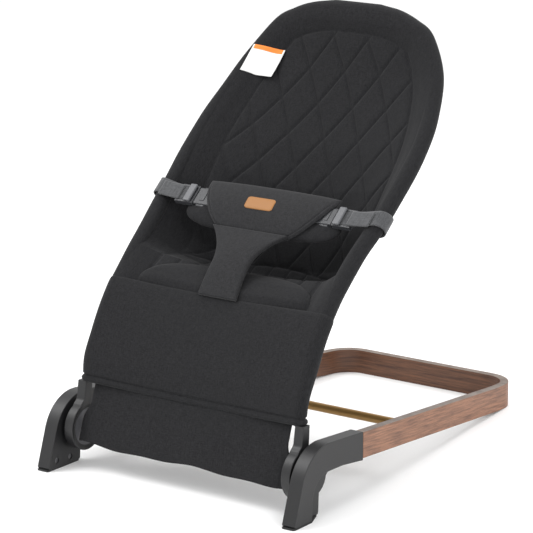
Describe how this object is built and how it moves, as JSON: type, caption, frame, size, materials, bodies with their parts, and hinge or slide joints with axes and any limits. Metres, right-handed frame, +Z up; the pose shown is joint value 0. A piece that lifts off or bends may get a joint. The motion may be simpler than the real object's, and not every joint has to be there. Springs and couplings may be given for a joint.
{
  "type": "bouncer seat",
  "caption": "Reclining baby bouncer seat: quilted fabric sling with harness on a tube frame, hinged at the front to a bentwood U base with moulded legs.",
  "frame": {"origin": "on the floor under the middle of the bounding box", "axes": "+X to the seated baby's left-right axis across the width, -Y towards the baby's feet, +Z up"},
  "size_m": [0.42, 0.648, 0.593],
  "materials": {
    "ply": "satin pale layered edge",
    "walnut": "satin walnut",
    "walnut_dark": "satin dark walnut",
    "rod_metal": "satin gold-brown",
    "leg_plastic": "matte black",
    "pad_rubber": "matte",
    "screw_steel": "satin",
    "spring_steel": "bright",
    "nylon": "satin",
    "tube_steel": "black",
    "edge_fabric": "woven",
    "seat_fabric": "woven, quilted",
    "label_cloth": "plain",
    "tan_leather": "plain",
    "buckle_plastic": "satin",
    "webbing": "ribbed",
    "button_plastic": "satin"
  },
  "bodies": {
    "base": {"bow_core": "ply", "bow_outer_veneer": "walnut", "bow_inner_veneer": "walnut_dark", "cross_rod": "rod_metal", "right_leg_inner_shell": "leg_plastic", "left_leg_inner_shell": "leg_plastic", "right_leg_outer_shell": "leg_plastic", "left_leg_outer_shell": "leg_plastic", "right_foot_pad": "pad_rubber", "left_foot_pad": "pad_rubber", "leg_screws": "screw_steel", "tenon_screws": "screw_steel", "right_ratchet_ring": "nylon", "left_ratchet_ring": "nylon", "right_hinge_pin": "screw_steel", "left_hinge_pin": "screw_steel", "right_lock_spring": "spring_steel", "left_lock_spring": "spring_steel"},
    "hubs": {"right_hub_core": "nylon", "left_hub_core": "nylon", "right_torsion_bush": "pad_rubber", "left_torsion_bush": "pad_rubber"},
    "seat": {"right_frame_arm": "leg_plastic", "left_frame_arm": "leg_plastic", "frame_tube": "tube_steel", "edge_sleeve": "edge_fabric", "front_panel": "seat_fabric", "seat_pad": "seat_fabric", "bucket_panel": "seat_fabric", "back_panel": "seat_fabric", "lower_apron": "seat_fabric", "care_label": "label_cloth", "waist_pad": "seat_fabric", "waist_flap": "seat_fabric", "leather_tag": "tan_leather", "crotch_strap": "seat_fabric", "right_buckle_socket": "buckle_plastic", "left_buckle_socket": "buckle_plastic", "right_side_webbing": "webbing", "left_side_webbing": "webbing"},
    "right_lock": {"right_lock_button": "button_plastic", "right_lock_gear": "nylon"},
    "left_lock": {"left_lock_button": "button_plastic", "left_lock_gear": "nylon"},
    "right_plug": {"right_buckle_plug": "buckle_plastic"},
    "left_plug": {"left_buckle_plug": "buckle_plastic"}
  },
  "joints": [
    {"name": "seat_recline", "type": "hinge", "parent": "base", "child": "hubs", "pos_m": [0, -0.2635, 0.0535], "axis": [1, 0, 0], "range_deg": [-45, 0]},
    {"name": "seat_bounce", "type": "hinge", "parent": "hubs", "child": "seat", "pos_m": [0, -0.2635, 0.0535], "axis": [1, 0, 0], "range_deg": [-4, 4], "stiffness_Nm_per_rad": 180},
    {"name": "right_lock_press", "type": "slide", "parent": "hubs", "child": "right_lock", "axis": [1, 0, 0], "range_m": [0, 0.006], "stiffness_N_per_m": 600, "deforming": ["right_lock_spring"]},
    {"name": "left_lock_press", "type": "slide", "parent": "hubs", "child": "left_lock", "axis": [-1, 0, 0], "range_m": [0, 0.006], "stiffness_N_per_m": 600, "deforming": ["left_lock_spring"]},
    {"name": "right_buckle_release", "type": "slide", "parent": "seat", "child": "right_plug", "axis": [-1, 0, 0], "range_m": [0, 0.02]},
    {"name": "left_buckle_release", "type": "slide", "parent": "seat", "child": "left_plug", "axis": [1, 0, 0], "range_m": [0, 0.02]}
  ]
}
